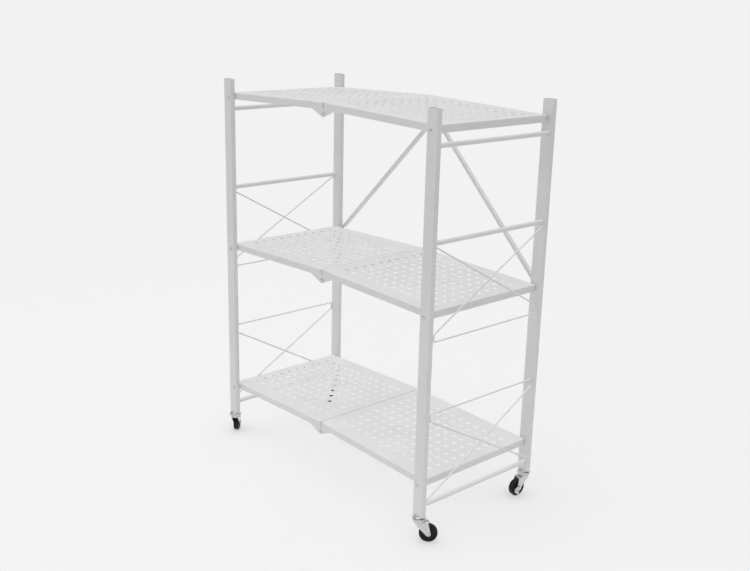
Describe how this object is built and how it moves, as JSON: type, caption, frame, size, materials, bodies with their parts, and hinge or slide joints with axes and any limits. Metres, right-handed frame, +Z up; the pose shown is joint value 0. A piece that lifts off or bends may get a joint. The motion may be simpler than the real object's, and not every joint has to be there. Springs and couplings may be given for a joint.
{
  "type": "folding storage rack",
  "caption": "Three-tier folding sheet-metal rack on four swivel casters: hinged half shelves, flat tube posts, crossed wire side braces and a rear umbrella linkage.",
  "frame": {"origin": "on the floor, under the middle of the open rack", "axes": "+X to the right as seen from the front, -Y to the front, +Z up"},
  "size_m": [0.7344, 0.3577, 0.8855],
  "materials": {
    "white_paint": "satin powder coat",
    "zinc_steel": "bright zinc plating",
    "white_plastic": "moulded, satin",
    "black_plastic": "moulded, slight sheen"
  },
  "bodies": {
    "left_frame": {"post_front_left": "white_paint", "post_rear_left": "white_paint", "rail_upper_left": "white_paint", "rail_middle_left": "white_paint", "rail_lower_left": "white_paint", "wire_brace_upper_left": "white_paint", "wire_brace_lower_left": "white_paint", "rivet_front_left_bottom": "zinc_steel", "rivet_front_left_middle": "zinc_steel", "rivet_front_left_top": "zinc_steel", "rivet_rear_left_bottom": "zinc_steel", "rivet_rear_left_middle": "zinc_steel", "rivet_rear_left_top": "zinc_steel", "caster_stem_front_left": "zinc_steel", "caster_stem_rear_left": "zinc_steel"},
    "right_frame": {"post_front_right": "white_paint", "post_rear_right": "white_paint", "rail_upper_right": "white_paint", "rail_middle_right": "white_paint", "rail_lower_right": "white_paint", "wire_brace_upper_right": "white_paint", "wire_brace_lower_right": "white_paint", "rivet_front_right_bottom": "zinc_steel", "rivet_front_right_middle": "zinc_steel", "rivet_front_right_top": "zinc_steel", "rivet_rear_right_bottom": "zinc_steel", "rivet_rear_right_middle": "zinc_steel", "rivet_rear_right_top": "zinc_steel", "caster_stem_front_right": "zinc_steel", "caster_stem_rear_right": "zinc_steel"},
    "bottom_left_half": {"shelf_bottom_left": "white_paint", "middle_pin_front_bottom": "zinc_steel", "middle_pin_rear_bottom": "zinc_steel"},
    "bottom_right_half": {"shelf_bottom_right": "white_paint"},
    "middle_left_half": {"shelf_middle_left": "white_paint", "middle_pin_front_middle": "zinc_steel", "middle_pin_rear_middle": "zinc_steel"},
    "middle_right_half": {"shelf_middle_right": "white_paint"},
    "top_left_half": {"shelf_top_left": "white_paint", "middle_pin_front_top": "zinc_steel", "middle_pin_rear_top": "zinc_steel"},
    "top_right_half": {"shelf_top_right": "white_paint"},
    "rod": {"guide_rod": "white_paint"},
    "hub": {"slider_hub": "white_plastic"},
    "left_brace": {"brace_left": "white_paint"},
    "right_brace": {"brace_right": "white_paint"},
    "fork_front_left": {"caster_fork_front_left": "zinc_steel", "caster_axle_front_left": "zinc_steel"},
    "wheel_front_left": {"caster_wheel_front_left": "black_plastic"},
    "fork_front_right": {"caster_fork_front_right": "zinc_steel", "caster_axle_front_right": "zinc_steel"},
    "wheel_front_right": {"caster_wheel_front_right": "black_plastic"},
    "fork_rear_left": {"caster_fork_rear_left": "zinc_steel", "caster_axle_rear_left": "zinc_steel"},
    "wheel_rear_left": {"caster_wheel_rear_left": "black_plastic"},
    "fork_rear_right": {"caster_fork_rear_right": "zinc_steel", "caster_axle_rear_right": "zinc_steel"},
    "wheel_rear_right": {"caster_wheel_rear_right": "black_plastic"},
    "lever_left": {"brake_lever_left": "zinc_steel"},
    "lever_right": {"brake_lever_right": "zinc_steel"}
  },
  "joints": [
    {"name": "shelf_fold", "type": "hinge", "parent": "left_frame", "child": "middle_left_half", "pos_m": [-0.3323, -0.00385, 0.484], "axis": [0, -1, 0], "range_deg": [0, 85]},
    {"name": "top_left_fold", "type": "hinge", "parent": "left_frame", "child": "top_left_half", "pos_m": [-0.3323, -0.00385, 0.843], "axis": [0, -1, 0], "range_deg": [0, 85]},
    {"name": "bottom_left_fold", "type": "hinge", "parent": "left_frame", "child": "bottom_left_half", "pos_m": [-0.3323, -0.00385, 0.125], "axis": [0, -1, 0], "range_deg": [0, 85]},
    {"name": "middle_seam", "type": "hinge", "parent": "middle_left_half", "child": "middle_right_half", "pos_m": [0, -0.00385, 0.4805], "axis": [0, -1, 0], "range_deg": [-170, 0]},
    {"name": "right_frame_fold", "type": "hinge", "parent": "middle_right_half", "child": "right_frame", "pos_m": [0.3323, -0.00385, 0.484], "axis": [0, -1, 0], "range_deg": [0, 85]},
    {"name": "top_right_fold", "type": "hinge", "parent": "right_frame", "child": "top_right_half", "pos_m": [0.3323, -0.00385, 0.843], "axis": [0, -1, 0], "range_deg": [-85, 0]},
    {"name": "bottom_right_fold", "type": "hinge", "parent": "right_frame", "child": "bottom_right_half", "pos_m": [0.3323, -0.00385, 0.125], "axis": [0, -1, 0], "range_deg": [-85, 0]},
    {"name": "rod_pivot", "type": "hinge", "parent": "middle_left_half", "child": "rod", "pos_m": [0, 0.16015, 0.4805], "axis": [0, -1, 0], "range_deg": [-85, 0]},
    {"name": "hub_slide", "type": "slide", "parent": "rod", "child": "hub", "axis": [0, 0, 1], "range_m": [-0.2027, 0]},
    {"name": "left_brace_pivot", "type": "hinge", "parent": "left_frame", "child": "left_brace", "pos_m": [-0.3323, 0.16675, 0.484], "axis": [0, -1, 0], "range_deg": [0, 43.3]},
    {"name": "right_brace_pivot", "type": "hinge", "parent": "right_frame", "child": "right_brace", "pos_m": [0.3323, 0.16675, 0.484], "axis": [0, -1, 0], "range_deg": [-43.3, 0]},
    {"name": "caster_swivel_front_left", "type": "hinge", "parent": "left_frame", "child": "fork_front_left", "pos_m": [-0.336, -0.16785, 0.05], "axis": [0, 0, 1], "continuous": true},
    {"name": "wheel_spin_front_left", "type": "hinge", "parent": "fork_front_left", "child": "wheel_front_left", "pos_m": [-0.35014, -0.15371, 0.0195], "axis": [-0.7071, -0.7071, 0], "continuous": true},
    {"name": "caster_swivel_front_right", "type": "hinge", "parent": "right_frame", "child": "fork_front_right", "pos_m": [0.336, -0.16785, 0.05], "axis": [0, 0, 1], "continuous": true},
    {"name": "wheel_spin_front_right", "type": "hinge", "parent": "fork_front_right", "child": "wheel_front_right", "pos_m": [0.35014, -0.15371, 0.0195], "axis": [-0.7071, 0.7071, 0], "continuous": true},
    {"name": "caster_swivel_rear_left", "type": "hinge", "parent": "left_frame", "child": "fork_rear_left", "pos_m": [-0.336, 0.16015, 0.05], "axis": [0, 0, 1], "continuous": true},
    {"name": "wheel_spin_rear_left", "type": "hinge", "parent": "fork_rear_left", "child": "wheel_rear_left", "pos_m": [-0.32916, 0.14136, 0.0195], "axis": [0.9397, 0.342, 0], "continuous": true},
    {"name": "brake_left", "type": "hinge", "parent": "fork_rear_left", "child": "lever_left", "pos_m": [-0.32916, 0.14136, 0.0195], "axis": [0.9397, 0.342, 0], "range_deg": [0, 18]},
    {"name": "caster_swivel_rear_right", "type": "hinge", "parent": "right_frame", "child": "fork_rear_right", "pos_m": [0.336, 0.16015, 0.05], "axis": [0, 0, 1], "continuous": true},
    {"name": "wheel_spin_rear_right", "type": "hinge", "parent": "fork_rear_right", "child": "wheel_rear_right", "pos_m": [0.33426, 0.14023, 0.0195], "axis": [0.9962, -0.0872, 0], "continuous": true},
    {"name": "brake_right", "type": "hinge", "parent": "fork_rear_right", "child": "lever_right", "pos_m": [0.33426, 0.14023, 0.0195], "axis": [0.9962, -0.0872, 0], "range_deg": [0, 18]}
  ],
  "couplings": [
    {"joint": "top_left_fold", "follows": "shelf_fold", "ratio": 1},
    {"joint": "bottom_left_fold", "follows": "shelf_fold", "ratio": 1},
    {"joint": "middle_seam", "follows": "shelf_fold", "ratio": -2},
    {"joint": "right_frame_fold", "follows": "shelf_fold", "ratio": 1},
    {"joint": "top_right_fold", "follows": "shelf_fold", "ratio": -1},
    {"joint": "bottom_right_fold", "follows": "shelf_fold", "ratio": -1},
    {"joint": "rod_pivot", "follows": "shelf_fold", "ratio": -1},
    {"joint": "hub_slide", "follows": "shelf_fold", "m_per_rad": -0.13653},
    {"joint": "left_brace_pivot", "follows": "shelf_fold", "ratio": 0.50804},
    {"joint": "right_brace_pivot", "follows": "shelf_fold", "ratio": -0.50804}
  ]
}
